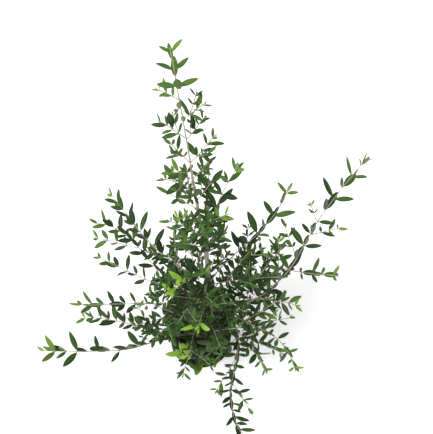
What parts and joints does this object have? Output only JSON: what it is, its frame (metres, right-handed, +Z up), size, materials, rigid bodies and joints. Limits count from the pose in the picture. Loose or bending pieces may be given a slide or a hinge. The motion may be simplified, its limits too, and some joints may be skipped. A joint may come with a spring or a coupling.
{
  "type": "potted olive tree",
  "caption": "Young olive tree with a slim upright trunk, spreading leafy shoots and small green olives, growing in a round plastic nursery pot with a rolled rim and drainage holes.",
  "frame": {"origin": "middle of the underside of the pot's base, on the floor it stands on", "axes": "+Z up along the pot's axis, -Y towards the side with the longest trailing shoot, +X towards the side with the tallest side shoot"},
  "size_m": [0.7315, 0.588, 0.9649],
  "materials": {
    "pot_plastic": "near-black moulded nursery-pot plastic, slightly satin",
    "potting_soil": "dark crumbly bark-and-peat potting soil",
    "bark": "smooth grey-beige young olive bark",
    "shoot_leaves": "leathery olive leaves, dark green above and grey-green beneath, on pale twigs; fresh yellow-green at the tips",
    "olive_skin": "matt grey-green unripe olive skin"
  },
  "bodies": {
    "root": {"crown_back_1": "shoot_leaves", "crown_back_2": "shoot_leaves", "crown_back_3": "shoot_leaves", "crown_front_1": "shoot_leaves", "crown_front_2": "shoot_leaves", "crown_front_3": "shoot_leaves", "crown_front_4": "shoot_leaves", "crown_front_5": "shoot_leaves", "crown_front_6": "shoot_leaves", "crown_left_1": "shoot_leaves", "crown_left_2": "shoot_leaves", "crown_left_3": "shoot_leaves", "crown_left_4": "shoot_leaves", "crown_right_1": "shoot_leaves", "crown_right_2": "shoot_leaves", "crown_right_3": "shoot_leaves", "crown_right_4": "shoot_leaves", "leader": "shoot_leaves", "nursery_pot": "pot_plastic", "olive_left": "olive_skin", "olive_right": "olive_skin", "olive_small": "olive_skin", "olive_top": "olive_skin", "olive_upper": "olive_skin", "shoot_back_right": "shoot_leaves", "shoot_front": "shoot_leaves", "shoot_front_right": "shoot_leaves", "shoot_left_high": "shoot_leaves", "shoot_left_level": "shoot_leaves", "shoot_left_longest": "shoot_leaves", "shoot_left_low": "shoot_leaves", "shoot_left_middle": "shoot_leaves", "shoot_left_under": "shoot_leaves", "shoot_over_rim": "shoot_leaves", "shoot_right_middle": "shoot_leaves", "shoot_right_tall": "shoot_leaves", "soil": "potting_soil", "trunk": "bark", "twig_front_bright": "shoot_leaves", "twig_front_mid": "shoot_leaves", "twig_front_pair": "shoot_leaves", "twig_front_upper": "shoot_leaves", "twig_left_back": "shoot_leaves", "twig_left_bright": "shoot_leaves", "twig_left_level": "shoot_leaves", "twig_left_long": "shoot_leaves", "twig_left_lower": "shoot_leaves", "twig_left_mid": "shoot_leaves", "twig_left_olive": "shoot_leaves", "twig_left_tender": "shoot_leaves", "twig_left_top": "shoot_leaves", "twig_left_upper": "shoot_leaves", "twig_right_bright": "shoot_leaves", "twig_right_dark": "shoot_leaves", "twig_right_mid": "shoot_leaves", "twig_right_short": "shoot_leaves", "twig_right_slim": "shoot_leaves", "twig_right_top": "shoot_leaves", "twig_right_upper": "shoot_leaves", "twig_upright": "shoot_leaves"}
  },
  "joints": []
}
